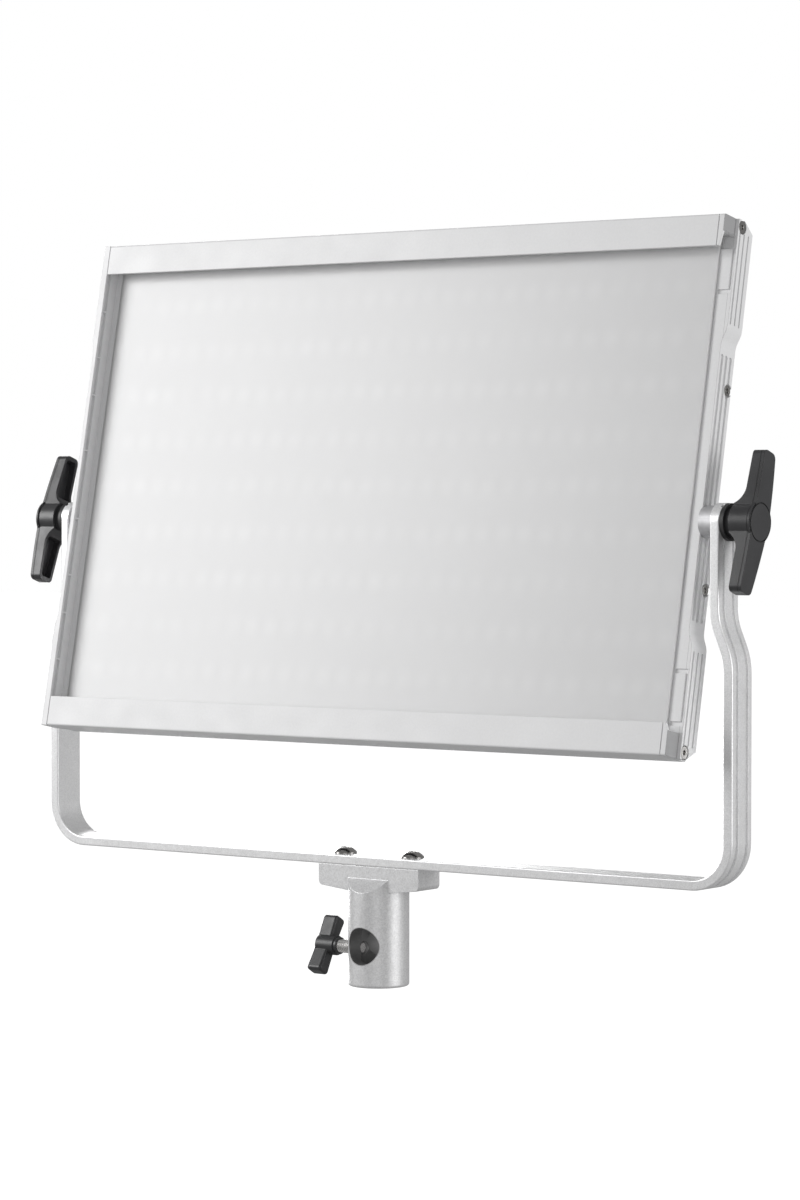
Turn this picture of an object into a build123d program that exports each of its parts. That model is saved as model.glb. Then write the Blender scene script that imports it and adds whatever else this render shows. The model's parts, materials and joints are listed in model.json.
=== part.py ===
"""LED panel light: a flat soft-light head that tilts in a U-shaped yoke above a 5/8 inch stand receiver.

Millimetres, +Z up, +X to the right of somebody facing the light, and the light shines towards -Y.
The origin is the centre of the receiver's mouth, where the stand's spigot enters.
"""
from build123d import *
from math import cos, radians, sin
import os

os.makedirs("parts", exist_ok=True)

# Driving dimensions -------------------------------------------------------------------------------
# Stand receiver
spigot_bore = 8.12              # radius of both sockets, for a 16 mm spigot
receiver_radius = 13.5
cross_socket_height = 18.2
clamp_height = 15.8
# Yoke, a flat bar bent to a U
yoke_width = 15.8
yoke_thickness = 4.3
yoke_underside = 52.9
yoke_half_span = 185.8          # to the outer face of the lower arms
arm_jog = 6.7                   # the upper arms stand this much further in
yoke_corner = 19.5
pivot_height = 204.4
# Head
tilt = 11.6                     # the top leans back by this many degrees
head_top = 127.6                # edges measured up the panel from the pivot
head_bottom = -98.8
head_depth = 20.5
pivot_depth = 12.7              # pivot behind the front face
side_outer = 170.6              # outer face of the side covers' raised ends
side_waist = 168.4              # outer face of their recessed middle
side_lip = 169.0                # outer face of the cover in front of the rail
bar_end = 166.6                 # where the bars meet the covers
window_half_width = 163.3       # half the diffuser's width
bar_height = 13.5               # front faces of the top and bottom bars
lip_thickness = 1.2
top_channel = 6.5               # depth of the accessory channel up into the top bar
bottom_channel = 3.2
slot_depth = 7.8                # accessory slot, from the front face to the diffuser
diffuser_thickness = 2.0
rail_front = 9.0                # where the outer rail starts behind the front face
# Light engine
led_rows = 9
led_columns = 30
led_row_pitch = 21.2
led_column_pitch = 10.9
board_front = 14.4
board_back = 16.0
# Rear housing
housing_half_width = 112.0
housing_height = 156.0
housing_back = 46.0
housing_wall = 2.0
panel_back = 48.0               # rear surface of the control panel
# Tilt-lock handles
handle_angle = 19.0
handle_reach = 30.5
stud_radius = 3.0

head_middle = (head_top + head_bottom) / 2
sink_top = head_top - bar_height + top_channel
sink_bottom = head_bottom + bar_height - bottom_channel

# Frames of the tilted head: face looks at the front, side looks along +X ---------------------------
back = Vector(0, cos(radians(tilt)), -sin(radians(tilt)))
front_centre = Vector(0, 0, pivot_height) - back * pivot_depth
face = Plane(origin=front_centre, x_dir=(1, 0, 0), z_dir=back * -1)
side = Plane(origin=front_centre, x_dir=back, z_dir=(1, 0, 0))


# Small solids in the head's own frame: across, up the panel, and depth behind the front face -------
def block(across, up, depth, mode=Mode.ADD):
    """A box between two values each way."""
    middle = ((across[0] + across[1]) / 2, (up[0] + up[1]) / 2, -(depth[0] + depth[1]) / 2)
    with Locations(middle):
        Box(across[1] - across[0], up[1] - up[0], depth[1] - depth[0], mode=mode)


def rod(across, up, depth, radius, mode=Mode.ADD):
    """A cylinder that runs from front to back between two depths."""
    with Locations((across, up, -(depth[0] + depth[1]) / 2)):
        Cylinder(radius, depth[1] - depth[0], mode=mode)


def cross_rod(across, up, depth, radius, mode=Mode.ADD):
    """A cylinder that runs along X between two values."""
    with Locations(((across[0] + across[1]) / 2, up, -depth)):
        Cylinder(radius, abs(across[1] - across[0]), rotation=(0, 90, 0), mode=mode)


# Stand receiver -----------------------------------------------------------------------------------
plate_half_length = 27.3
plate_half_width = 7.85
plate_end_underside = 43.6
plate_middle_underside = 41.8
shoulder_top = 47.4             # where the 45 degree cut meets the plate's side
shoulder_reach = 15.0
socket_depth = 40.0
screw_spacing = 36.8
screw_hole_radius = 3.0
screw_hole_depth = 9.6
receiver_screw_places = [(-screw_spacing / 2, 0), (screw_spacing / 2, 0)]

with BuildPart() as receiver:
    Cylinder(receiver_radius, yoke_underside, align=(Align.CENTER, Align.CENTER, Align.MIN))
    # the round body is cut off at 45 degrees where it stands proud of the plate
    with BuildSketch(Plane.YZ) as shoulder:
        for way in (1, -1):
            with BuildLine():
                Polyline((way * plate_half_width, yoke_underside + 1),
                         (way * plate_half_width, shoulder_top),
                         (way * shoulder_reach, shoulder_top + plate_half_width - shoulder_reach),
                         (way * shoulder_reach, yoke_underside + 1), close=True)
            make_face()
    extrude(amount=20, both=True, mode=Mode.SUBTRACT)
    # mounting plate, thicker towards the middle
    with BuildSketch(Plane.XZ) as plate_outline:
        with BuildLine():
            Polyline((-plate_half_length, yoke_underside), (-plate_half_length, plate_end_underside),
                     (-11, plate_middle_underside), (11, plate_middle_underside),
                     (plate_half_length, plate_end_underside), (plate_half_length, yoke_underside),
                     close=True)
        make_face()
        fillet(plate_outline.vertices().group_by(Axis.Y)[1], radius=2.2)
    extrude(amount=plate_half_width, both=True)
    fillet(receiver.edges().group_by(Axis.Z)[0], radius=1.2)
    # sockets
    Cylinder(spigot_bore, socket_depth, align=(Align.CENTER, Align.CENTER, Align.MIN), mode=Mode.SUBTRACT)
    with Locations((0, 0, cross_socket_height)):
        Cylinder(spigot_bore, 4 * receiver_radius, rotation=(90, 0, 0), mode=Mode.SUBTRACT)
    # tapped holes for the clamp screw and for the two screws that hold the yoke
    with Locations((-receiver_radius, 0, clamp_height)):
        Cylinder(stud_radius + 0.03, 2 * receiver_radius, rotation=(0, 90, 0), mode=Mode.SUBTRACT)
    with Locations(Plane.XY.offset(yoke_underside)):
        with Locations(*receiver_screw_places):
            Cylinder(screw_hole_radius, screw_hole_depth,
                     align=(Align.CENTER, Align.CENTER, Align.MAX), mode=Mode.SUBTRACT)
receiver.part.label = "receiver"
export_step(receiver.part, "parts/receiver.step")

button_head_radius = 5.15
button_head_height = 3.0
button_shank_radius = 2.95
button_shank_length = 13.0
hex_socket_radius = 2.3
hex_socket_depth = 1.9

with BuildPart() as button_screw:
    with BuildSketch(Plane.XZ) as button_head:
        with BuildLine():
            rim = Line((0, 0), (button_head_radius, 0))
            edge = Line(rim @ 1, (button_head_radius, 0.5))
            dome = ThreePointArc(edge @ 1, (3.3, 2.2), (0, button_head_height))
            Line(dome @ 1, rim @ 0)
        make_face()
    revolve(axis=Axis.Z)
    Cylinder(button_shank_radius, button_shank_length, align=(Align.CENTER, Align.CENTER, Align.MAX))
    with BuildSketch(Plane.XY.offset(button_head_height + 1)):
        RegularPolygon(radius=hex_socket_radius, side_count=6)
    extrude(amount=-1 - hex_socket_depth, mode=Mode.SUBTRACT)
with BuildPart() as receiver_screws:
    with Locations(*[(x, y, yoke_underside + yoke_thickness) for x, y in receiver_screw_places]):
        add(button_screw.part)
receiver_screws.part.label = "receiver_screws"
export_step(receiver_screws.part, "parts/receiver_screws.step")

# Receiver clamp: a black wing knob moulded on a steel screw, backed out of the bore ----------------
clamp_tip = -(spigot_bore + 0.6)
knob_face = -21.0
knob_wing_inner = -25.6
knob_wing_outer = -33.4
knob_angle = 30.0
knob_reach = 13.4
knob_tip = 3.5                  # half widths of the wings
knob_root = 2.7
knob_middle_radius = 4.4
knob_neck_radius = 3.9
knob_frame = Plane(origin=(0, 0, clamp_height),
                   x_dir=(0, cos(radians(knob_angle)), -sin(radians(knob_angle))), z_dir=(1, 0, 0))

with BuildPart(Plane.YZ) as clamp_screw:
    with Locations((0, clamp_height, (clamp_tip - 30) / 2)):
        Cylinder(stud_radius - 0.03, 30 + clamp_tip)
    chamfer(clamp_screw.edges().sort_by(Axis.X)[-1], length=0.5)
clamp_screw.part.label = "clamp_screw"
export_step(clamp_screw.part, "parts/clamp_screw.step")

with BuildPart() as clamp_knob:
    with BuildSketch(knob_frame.offset(knob_wing_outer)) as knob_wings:
        with BuildLine():
            Polyline((-knob_tip, knob_reach), (knob_tip, knob_reach), (knob_root, 0),
                     (knob_tip, -knob_reach), (-knob_tip, -knob_reach), (-knob_root, 0), close=True)
        make_face()
        fillet(knob_wings.vertices().filter_by(lambda corner: abs(corner.Y) > 1), radius=1.6)
    extrude(amount=knob_wing_inner - knob_wing_outer)
    fillet(clamp_knob.edges().group_by(Axis.X)[0], radius=1.5)
    fillet(clamp_knob.edges().group_by(Axis.X)[-1], radius=1.1)
    with BuildSketch(knob_frame.offset(knob_wing_outer + 1.2)):
        Circle(knob_middle_radius)
    extrude(amount=knob_wing_inner + 2.8 - knob_wing_outer - 1.2)
    with BuildSketch(knob_frame.offset(knob_wing_inner + 2.8)):
        Circle(knob_neck_radius)
    extrude(amount=knob_face - knob_wing_inner - 2.8)
    fillet(clamp_knob.edges().filter_by(GeomType.CIRCLE).group_by(Axis.X)[-1], radius=0.5)
    with BuildSketch(knob_frame.offset(-30)):
        Circle(stud_radius - 0.03)
    extrude(amount=20, mode=Mode.SUBTRACT)
clamp_knob.part.label = "clamp_knob"
export_step(clamp_knob.part, "parts/clamp_knob.step")


# Yoke ---------------------------------------------------------------------------------------------
arm_centre = yoke_half_span - yoke_thickness / 2
pivot_arm_centre = arm_centre - arm_jog
pivot_arm_outer = pivot_arm_centre + yoke_thickness / 2
pivot_arm_inner = pivot_arm_centre - yoke_thickness / 2
arm_top = pivot_height + 8.2
jog_top = 164.0
jog_bottom = 148.0
jog_radius = 28.0
bottom_centre = yoke_underside + yoke_thickness / 2
corner_radius = yoke_corner - yoke_thickness / 2
groove_offset = 3.8
groove_width = 1.9
groove_depth = 0.9

with BuildPart() as yoke:
    with BuildLine() as bar_path:
        FilletPolyline((pivot_arm_centre, 0, arm_top), (pivot_arm_centre, 0, jog_top),
                       (arm_centre, 0, jog_bottom), (arm_centre, 0, bottom_centre),
                       (-arm_centre, 0, bottom_centre), (-arm_centre, 0, jog_bottom),
                       (-pivot_arm_centre, 0, jog_top), (-pivot_arm_centre, 0, arm_top),
                       radius=[jog_radius, jog_radius, corner_radius, corner_radius, jog_radius,
                               jog_radius])
    with BuildSketch(Plane(origin=(pivot_arm_centre, 0, arm_top), x_dir=(1, 0, 0),
                           z_dir=(0, 0, -1))) as bar_section:
        Rectangle(yoke_thickness, yoke_width)
        fillet(bar_section.vertices(), radius=0.6)
        with Locations((yoke_thickness / 2, groove_offset), (yoke_thickness / 2, -groove_offset)):
            Rectangle(2 * groove_depth, groove_width, mode=Mode.SUBTRACT)
    sweep(path=bar_path.wires()[0])
    # rounded arm ends about the pivot
    with BuildSketch(Plane.YZ) as arm_ends:
        with Locations((0, arm_top)):
            Rectangle(2 * yoke_width, 30)
        with Locations((0, pivot_height)):
            Rectangle(2 * yoke_width, 30, align=(Align.CENTER, Align.MAX), mode=Mode.SUBTRACT)
            Circle(yoke_width / 2, mode=Mode.SUBTRACT)
    extrude(amount=yoke_half_span + 1, both=True, mode=Mode.SUBTRACT)
    with Locations((0, 0, pivot_height)):
        Cylinder(stud_radius + 0.3, 2 * yoke_half_span, rotation=(0, 90, 0), mode=Mode.SUBTRACT)
    with Locations(*[(x, y, yoke_underside + yoke_thickness / 2) for x, y in receiver_screw_places]):
        Cylinder(3.2, 2 * yoke_thickness, mode=Mode.SUBTRACT)
yoke.part.label = "yoke"
export_step(yoke.part, "parts/yoke.step")

# Tilt-lock handles: a moulded lever on a steel stud, with a plain washer under its hub -------------
spacer_radius = 6.8
stud_tip = 163.8
washer_inner = pivot_arm_outer + 0.1
washer_outer = washer_inner + 1.9
hub_inner = washer_outer
hub_radius = 6.4
head_disc_radius = 8.7
wing_inner = 187.4
handle_face = 194.4             # crown of the arched outer face
handle_tip_face = 193.0         # outer face at the lever's tips
flange_thickness = 1.3
pocket_wall = 1.5
scribe_radius = 7.9
scribe_width = 0.5
scribe_depth = 0.75             # behind the crown of the outer face
lever_tip = 4.3                 # half widths of the lever
lever_root = 5.9
lever_across = (0, cos(radians(handle_angle)), -sin(radians(handle_angle)))
pivot_point = (0, 0, pivot_height)
lever_plane = Plane(origin=pivot_point, x_dir=lever_across, z_dir=(1, 0, 0))
lever_section = Plane(origin=pivot_point, x_dir=(1, 0, 0),
                      z_dir=(0, -cos(radians(handle_angle)), sin(radians(handle_angle))))


def tilt_handle(way):
    """One moulded lever, on the +X side for way 1 and on the -X side for way -1."""
    with BuildPart() as lever:
        # wings and middle as one outline, cut to an arched outer face and a flared inner one
        with BuildSketch(lever_plane.offset(way * hub_inner)) as outline:
            with BuildLine():
                Polyline((-lever_tip, handle_reach), (lever_tip, handle_reach), (lever_root, 6),
                         (lever_root, -6), (lever_tip, -handle_reach), (-lever_tip, -handle_reach),
                         (-lever_root, -6), (-lever_root, 6), close=True)
            make_face()
            fillet(outline.vertices().filter_by(lambda corner: abs(corner.Y) > 10), radius=2.4)
            Circle(head_disc_radius - 0.5)
        extrude(amount=way * 16)
        with BuildSketch(lever_section) as section:
            with BuildLine():
                outer = ThreePointArc((way * handle_tip_face, handle_reach), (way * handle_face, 0),
                                      (way * handle_tip_face, -handle_reach))
                low_side = Polyline(outer @ 1, (way * wing_inner, -handle_reach),
                                    (way * (wing_inner + 0.6), -13.5))
                low_flare = ThreePointArc(low_side @ 1, (way * (wing_inner - 0.6), -9.2),
                                          (way * (wing_inner - 3.6), -hub_radius))
                high_side = Polyline(outer @ 0, (way * wing_inner, handle_reach),
                                     (way * (wing_inner + 0.6), 13.5))
                high_flare = ThreePointArc(high_side @ 1, (way * (wing_inner - 0.6), 9.2),
                                           (way * (wing_inner - 3.6), hub_radius))
                Line(low_flare @ 1, high_flare @ 1)
            make_face()
        extrude(amount=12, both=True, mode=Mode.INTERSECT)
        # thin flange along the outer face
        with BuildSketch(lever_plane.offset(way * (handle_face - flange_thickness))):
            Circle(head_disc_radius)
        extrude(amount=way * (flange_thickness - 0.4))
        # a fine circle scribed in the outer face around the middle
        with BuildSketch(lever_plane.offset(way * (handle_face - scribe_depth))):
            Circle(scribe_radius + scribe_width / 2)
            Circle(scribe_radius - scribe_width / 2, mode=Mode.SUBTRACT)
        extrude(amount=way * 2, mode=Mode.SUBTRACT)
        # hub
        with BuildSketch(lever_plane.offset(way * hub_inner)):
            Circle(hub_radius)
        extrude(amount=way * 10)
        # the wings are hollow, open towards the yoke
        with BuildSketch(lever_plane.offset(way * (wing_inner - 4))) as pockets:
            for end in (1, -1):
                with BuildLine():
                    Polyline((-3.0, end * 28.5), (3.0, end * 28.5), (4.4, end * 9.6),
                             (-4.4, end * 9.6), close=True)
                make_face()
            fillet(pockets.vertices(), radius=1.0)
        extrude(amount=way * (handle_tip_face - pocket_wall - wing_inner + 4), mode=Mode.SUBTRACT)
        with BuildSketch(lever_plane.offset(way * (hub_inner - 1))):
            Circle(stud_radius)
        extrude(amount=way * 11, mode=Mode.SUBTRACT)
    return lever.part


right_handle = tilt_handle(1)
right_handle.label = "right_handle"
export_step(right_handle, "parts/right_handle.step")
left_handle = tilt_handle(-1)
left_handle.label = "left_handle"
export_step(left_handle, "parts/left_handle.step")


def along_pivot(start, end, radius, bore=0.0):
    """A round piece on the tilt axis between two X values."""
    with BuildPart() as piece:
        with Locations(((start + end) / 2, 0, pivot_height)):
            Cylinder(radius, abs(end - start), rotation=(0, 90, 0))
            if bore:
                Cylinder(bore, abs(end - start), rotation=(0, 90, 0), mode=Mode.SUBTRACT)
    return piece.part


for way, name in ((1, "right"), (-1, "left")):
    stud = along_pivot(way * stud_tip, way * (hub_inner + 10), stud_radius - 0.02)
    stud.label = name + "_stud"
    export_step(stud, f"parts/{name}_stud.step")
    washer = along_pivot(way * washer_inner, way * washer_outer, 7.8, stud_radius)
    washer.label = name + "_washer"
    export_step(washer, f"parts/{name}_washer.step")
    spacer = along_pivot(way * side_waist, way * (pivot_arm_inner - 0.1), spacer_radius, stud_radius + 0.3)
    spacer.label = name + "_spacer"
    export_step(spacer, f"parts/{name}_spacer.step")

insert_radius = 3.7
insert_inner = window_half_width + 0.4
with BuildPart() as pivot_inserts:
    for way in (1, -1):
        add(along_pivot(way * insert_inner, way * side_waist, insert_radius, stud_radius + 0.03))
pivot_inserts.part.label = "pivot_inserts"
export_step(pivot_inserts.part, "parts/pivot_inserts.step")


# Side covers' dimensions that the bars share
cover_inner = 160.6             # inner edge of the ledge behind the diffuser

# Top and bottom bars: extrusions with a hanging lip that forms the accessory slot -------------------
corner_screw_inset = 2.9        # screw axis to the outer edge
corner_screw_depth = 12.2
screw_core = 1.25               # tapped holes for the small machine screws
screw_core_length = 12.0
bar_chambers = (2.0, 8.4), (16.0, 18.8)     # depths, either side of the screw port
bar_wall = 1.8
shelf_height = 3.4
shelf_thickness = 1.4
bar_edge_round = 0.8
bar_length = 2 * bar_end - 0.7


def light_bar(outer_edge, channel, way):
    """The bar whose outer edge is given; way is 1 for the top bar and -1 for the bottom one."""
    solid_edge = outer_edge - way * (bar_height - channel)
    lip_edge = outer_edge - way * bar_height
    shelf_edge = solid_edge - way * shelf_height
    with BuildPart() as bar:
        with BuildSketch(side.offset(-bar_length / 2)) as section:
            with BuildLine():
                Polyline((0, outer_edge), (head_depth, outer_edge), (head_depth, solid_edge),
                         (lip_thickness, solid_edge), (lip_thickness, lip_edge), (0, lip_edge),
                         close=True)
            make_face()
            fillet(section.vertices().filter_by(lambda corner: abs(corner.Y - outer_edge) < 0.01),
                   radius=bar_edge_round)
            for start, end in bar_chambers:
                with Locations(((start + end) / 2, (outer_edge + solid_edge) / 2)):
                    Rectangle(end - start, abs(outer_edge - solid_edge) - 2 * bar_wall,
                              mode=Mode.SUBTRACT)
        extrude(amount=bar_length)
        # shelf that backs the diffuser, stopped short of the side covers
        with BuildSketch(side.offset(-cover_inner + 0.4)):
            with Locations((slot_depth + diffuser_thickness + 0.8, (solid_edge + shelf_edge) / 2)):
                Rectangle(shelf_thickness, shelf_height)
        extrude(amount=2 * cover_inner - 0.8)
        for end in (-1, 1):
            with BuildSketch(side.offset(end * bar_length / 2)):
                with Locations((corner_screw_depth, outer_edge - way * corner_screw_inset)):
                    Circle(screw_core)
            extrude(amount=-end * screw_core_length, mode=Mode.SUBTRACT)
    return bar.part


top_bar = light_bar(head_top, top_channel, 1)
top_bar.label = "top_bar"
export_step(top_bar, "parts/top_bar.step")
bottom_bar = light_bar(head_bottom, bottom_channel, -1)
bottom_bar.label = "bottom_bar"
export_step(bottom_bar, "parts/bottom_bar.step")

# Side covers --------------------------------------------------------------------------------------
waist_reach = 59.0              # half height of the recessed middle
waist_blend = 9.5               # length of the S-curve at its ends
rail_groove_depths = (10.8, 14.1, 17.5)
waist_screw_reach = 42.0
waist_screw_depth = 18.0
screw_pocket = 1.6              # depth of the recesses for the screw heads
corner_cut_depth = 7.0
corner_cut_height = 4.3
corner_screw_heights = (head_top - corner_screw_inset, head_bottom + corner_screw_inset)
waist_screw_heights = (head_middle + waist_screw_reach, head_middle - waist_screw_reach)
slot_top = sink_top - 5.8       # top of the cover's face beside the diffuser
middle_heights = (sink_bottom + 0.1, sink_top - 0.1)


def span(way, near, far):
    """The X interval between two distances from the middle, on the side that way gives."""
    return tuple(sorted((way * near, way * far)))


def side_wall(way, start, end, bottom, top, waist):
    """The cover's outline with its recessed waist, solid between two depths."""
    high = head_middle + waist_reach
    low = head_middle - waist_reach
    inner = way * bar_end
    outer = way * side_outer
    recess = way * waist
    with BuildPart() as wall:
        with BuildSketch(face.offset(-start)):
            with BuildLine():
                Polyline((recess, low), (recess, high))
                Bezier((recess, high), (recess, high + waist_blend / 2),
                       (outer, high + waist_blend / 2), (outer, high + waist_blend))
                Polyline((outer, high + waist_blend), (outer, top), (inner, top), (inner, bottom),
                         (outer, bottom), (outer, low - waist_blend))
                Bezier((outer, low - waist_blend), (outer, low - waist_blend / 2),
                       (recess, low - waist_blend / 2), (recess, low))
            make_face()
        extrude(amount=start - end)
    return wall.part


def cover_cuts(way):
    """What is cut from both covers: rail grooves, screw holes, insert hole and rear corners."""
    with BuildPart(face) as cuts:
        for depth in rail_groove_depths:
            for middle, reach, width, cut, floor in (
                    (head_middle + 88.2, 19.6, 0.9, 0.5, side_outer),
                    (head_middle - 88.2, 19.6, 0.9, 0.5, side_outer),
                    (head_middle, 56.0, 1.9, 0.8, side_waist)):
                with BuildSketch(side.offset(way * (floor - cut))):
                    with Locations((depth, middle)):
                        SlotOverall(2 * reach, width, rotation=90)
                extrude(amount=way * (cut + 1))
        for height in corner_screw_heights:
            cross_rod(span(way, side_outer - screw_pocket, side_outer + 1), height, corner_screw_depth,
                      3.0)
            cross_rod(span(way, bar_end - 1, side_outer), height, corner_screw_depth, 1.7)
        for height in waist_screw_heights:
            cross_rod(span(way, side_waist - screw_pocket, side_waist + 1), height, waist_screw_depth,
                      2.8)
            cross_rod(span(way, cover_inner - 1, side_waist), height, waist_screw_depth, 1.4)
        cross_rod(span(way, insert_inner, side_waist + 1), 0, pivot_depth, insert_radius)
        cross_rod(span(way, side_waist, side_outer + 1), 0, pivot_depth, spacer_radius + 0.3)
        for edge, sense in ((head_top, 1), (head_bottom, -1)):
            with BuildSketch(side.offset(way * (bar_end - 1))):
                with BuildLine():
                    Polyline((head_depth - corner_cut_depth, edge + sense),
                             (head_depth - corner_cut_depth, edge),
                             (head_depth, edge - sense * corner_cut_height),
                             (head_depth + 1, edge - sense * corner_cut_height),
                             (head_depth + 1, edge + sense), close=True)
                make_face()
            extrude(amount=way * 6)
    return cuts.part


def cap_edges(cover, height):
    """The cover's front edges at one height up the panel."""
    return cover.edges().filter_by(lambda rim: abs(side.to_local_coords(rim.center()).X) < 0.01
                                   and abs(side.to_local_coords(rim.center()).Y - height) < 0.01)


# Right cover: the accessory slot is open on this side
strip_front = slot_depth + 1.0  # the diffuser stands this much proud of the strip beside it
tongue_edge = 169.3
slit_gap = 0.7
top_tongue = (97.5, slot_top)
bottom_tongue = (-83.7, -63.7)
tongue_slits = (95.7, 97.5), (-63.7, -61.9), (-85.4, -83.7)

with BuildPart() as right_cover:
    add(side_wall(1, rail_front, head_depth, head_bottom, head_top, side_waist))
    add(side_wall(1, strip_front, rail_front, middle_heights[0], slot_top, side_waist))
    with Locations(face):
        # caps over the bars' ends, flush with the bars' front
        for low, high in ((head_bottom, sink_bottom), (sink_top, head_top)):
            block((bar_end, side_lip), (low, high), (0, head_depth))
        block((window_half_width, bar_end), (middle_heights[0], slot_top), (strip_front, head_depth))
        block((window_half_width, bar_end), (slot_top, middle_heights[1]), (11.0, head_depth))
        block((cover_inner, bar_end), middle_heights, (slot_depth + diffuser_thickness + 0.1, head_depth))
        block((window_half_width, side_lip), (slot_top, sink_top - 0.4), (0, 11.0), Mode.SUBTRACT)
    # the bars' lips carry on over the caps, with their corners cut away
    for sill, tip in ((sink_top, head_top - bar_height), (sink_bottom, head_bottom + bar_height)):
        with BuildSketch(face):
            with BuildLine():
                Polyline((bar_end, sill), (side_lip, sill), (side_lip - 1.3, tip), (bar_end, tip),
                         close=True)
            make_face()
        extrude(amount=-lip_thickness)
    # the caps' outer edges are rounded like the bars'
    for edge in (head_top, head_bottom):
        fillet(cap_edges(right_cover, edge), radius=bar_edge_round)
    # spring tongues that hold an accessory in the slot, cut free on three sides
    with Locations(face):
        for low, high in tongue_slits:
            block((window_half_width + 0.7, tongue_edge + slit_gap), (low, high),
                  (slot_depth - 1, slot_depth + 1.6), Mode.SUBTRACT)
        for low, high in (top_tongue, bottom_tongue):
            block((tongue_edge, tongue_edge + slit_gap), (low, high),
                  (slot_depth - 1, slot_depth + 1.6), Mode.SUBTRACT)
    add(cover_cuts(1), mode=Mode.SUBTRACT)
right_cover.part.label = "right_cover"
export_step(right_cover.part, "parts/right_cover.step")

# Left cover: the blind end of the slot, with a ribbed groove for the accessory's edge
front_waist = 169.5
end_groove_front = 1.0
end_groove_back = 3.2
end_groove_depth = 1.2
groove_rib = 0.8
half_grooves = (15.7, 25.7, 17.0, 21.0, 17.6)      # from the middle outwards, the first is halved

with BuildPart() as left_cover:
    add(side_wall(-1, rail_front, head_depth, head_bottom, head_top, side_waist))
    add(side_wall(-1, 0, rail_front, head_bottom, head_top, front_waist))
    fillet(left_cover.edges().filter_by(
        lambda rim: side.to_local_coords(rim.center()).X < 0.01 and rim.center().X < 0.01 - front_waist),
        radius=1.4)
    with Locations(face):
        block((-bar_end, -window_half_width), middle_heights, (slot_depth, head_depth))
        block((-bar_end, -cover_inner), middle_heights,
              (slot_depth + diffuser_thickness + 0.1, head_depth))
        for sense in (1, -1):
            start = 0.0
            for length in half_grooves:
                edges = sorted((head_middle + sense * start, head_middle + sense * (start + length)))
                block((-bar_end - end_groove_depth, -bar_end + 1), edges,
                      (end_groove_front, end_groove_back), Mode.SUBTRACT)
                start = start + length + groove_rib
    add(cover_cuts(-1), mode=Mode.SUBTRACT)
left_cover.part.label = "left_cover"
export_step(left_cover.part, "parts/left_cover.step")

# Machine screws that hold the covers: pan heads in the corners, socket heads in the waist ----------
with BuildPart() as cover_screws:
    with Locations(face):
        for way in (1, -1):
            pocket_floor = side_outer - screw_pocket
            for height in corner_screw_heights:
                cross_rod(span(way, pocket_floor, pocket_floor + 1.4), height, corner_screw_depth, 2.7)
                cross_rod(span(way, bar_end - 9, pocket_floor), height, corner_screw_depth, 1.2)
                cross_rod(span(way, pocket_floor + 0.6, pocket_floor + 2), height, corner_screw_depth,
                          1.0, Mode.SUBTRACT)
            pocket_floor = side_waist - screw_pocket
            for height in waist_screw_heights:
                cross_rod(span(way, pocket_floor, pocket_floor + 1.5), height, waist_screw_depth, 2.2)
                cross_rod(span(way, cover_inner - 8, pocket_floor), height, waist_screw_depth, 1.2)
                cross_rod(span(way, pocket_floor + 0.5, pocket_floor + 2), height, waist_screw_depth,
                          1.1, Mode.SUBTRACT)
cover_screws.part.label = "cover_screws"
export_step(cover_screws.part, "parts/cover_screws.step")

# Light engine: opal diffuser, LED board with two colours of emitter, heat sink ---------------------
board_half_width = 160.0
board_span = (sink_bottom + 0.6, sink_top - 0.6)
board_screw_places = [(x, head_middle + y) for x in (-120.0, 0.0, 120.0) for y in (-53.0, 53.0)]

with BuildPart(face) as diffuser:
    block((-window_half_width + 0.1, window_half_width - 0.1), (sink_bottom + 0.2, sink_top - 0.2),
          (slot_depth, slot_depth + diffuser_thickness))
diffuser.part.label = "diffuser"
export_step(diffuser.part, "parts/diffuser.step")

with BuildPart(face) as led_board:
    block((-board_half_width, board_half_width), board_span, (board_front, board_back))
    for x, y in board_screw_places:
        rod(x, y, (board_front - 1, board_back + 1), 1.7, Mode.SUBTRACT)
led_board.part.label = "led_board"
export_step(led_board.part, "parts/led_board.step")

for name, first in (("daylight_leds", 0), ("tungsten_leds", 1)):
    with BuildPart(face.offset(-board_front)) as emitters:
        with Locations(*[((column - (led_columns - 1) / 2) * led_column_pitch,
                          head_middle + (row - (led_rows - 1) / 2) * led_row_pitch)
                         for row in range(led_rows) for column in range(first, led_columns, 2)]):
            Box(3.0, 3.0, 0.8, align=(Align.CENTER, Align.CENTER, Align.MIN))
    emitters.part.label = name
    export_step(emitters.part, f"parts/{name}.step")

with BuildPart(face) as board_screws:
    for x, y in board_screw_places:
        rod(x, y, (board_front - 1.2, board_front), 2.7)
        rod(x, y, (board_front, board_back + 3.6), 1.45)
        rod(x, y, (board_front - 2, board_front - 0.6), 0.9, Mode.SUBTRACT)
board_screws.part.label = "board_screws"
export_step(board_screws.part, "parts/board_screws.step")

fin_pitch = 5.6
fin_height = 6.0
fin_count = 7
standoff_places = [(x, y) for x in (-92.0, 92.0) for y in (26.0, 82.0)] + [
    (x, y) for x in (-56.0, 56.0) for y in (-50.0, -14.0)]
housing_screw_places = [(x, head_middle + y) for x in (-104.0, 104.0) for y in (-70.0, 70.0)]
housing_screw_places.append((0.0, 6.0))

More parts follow.
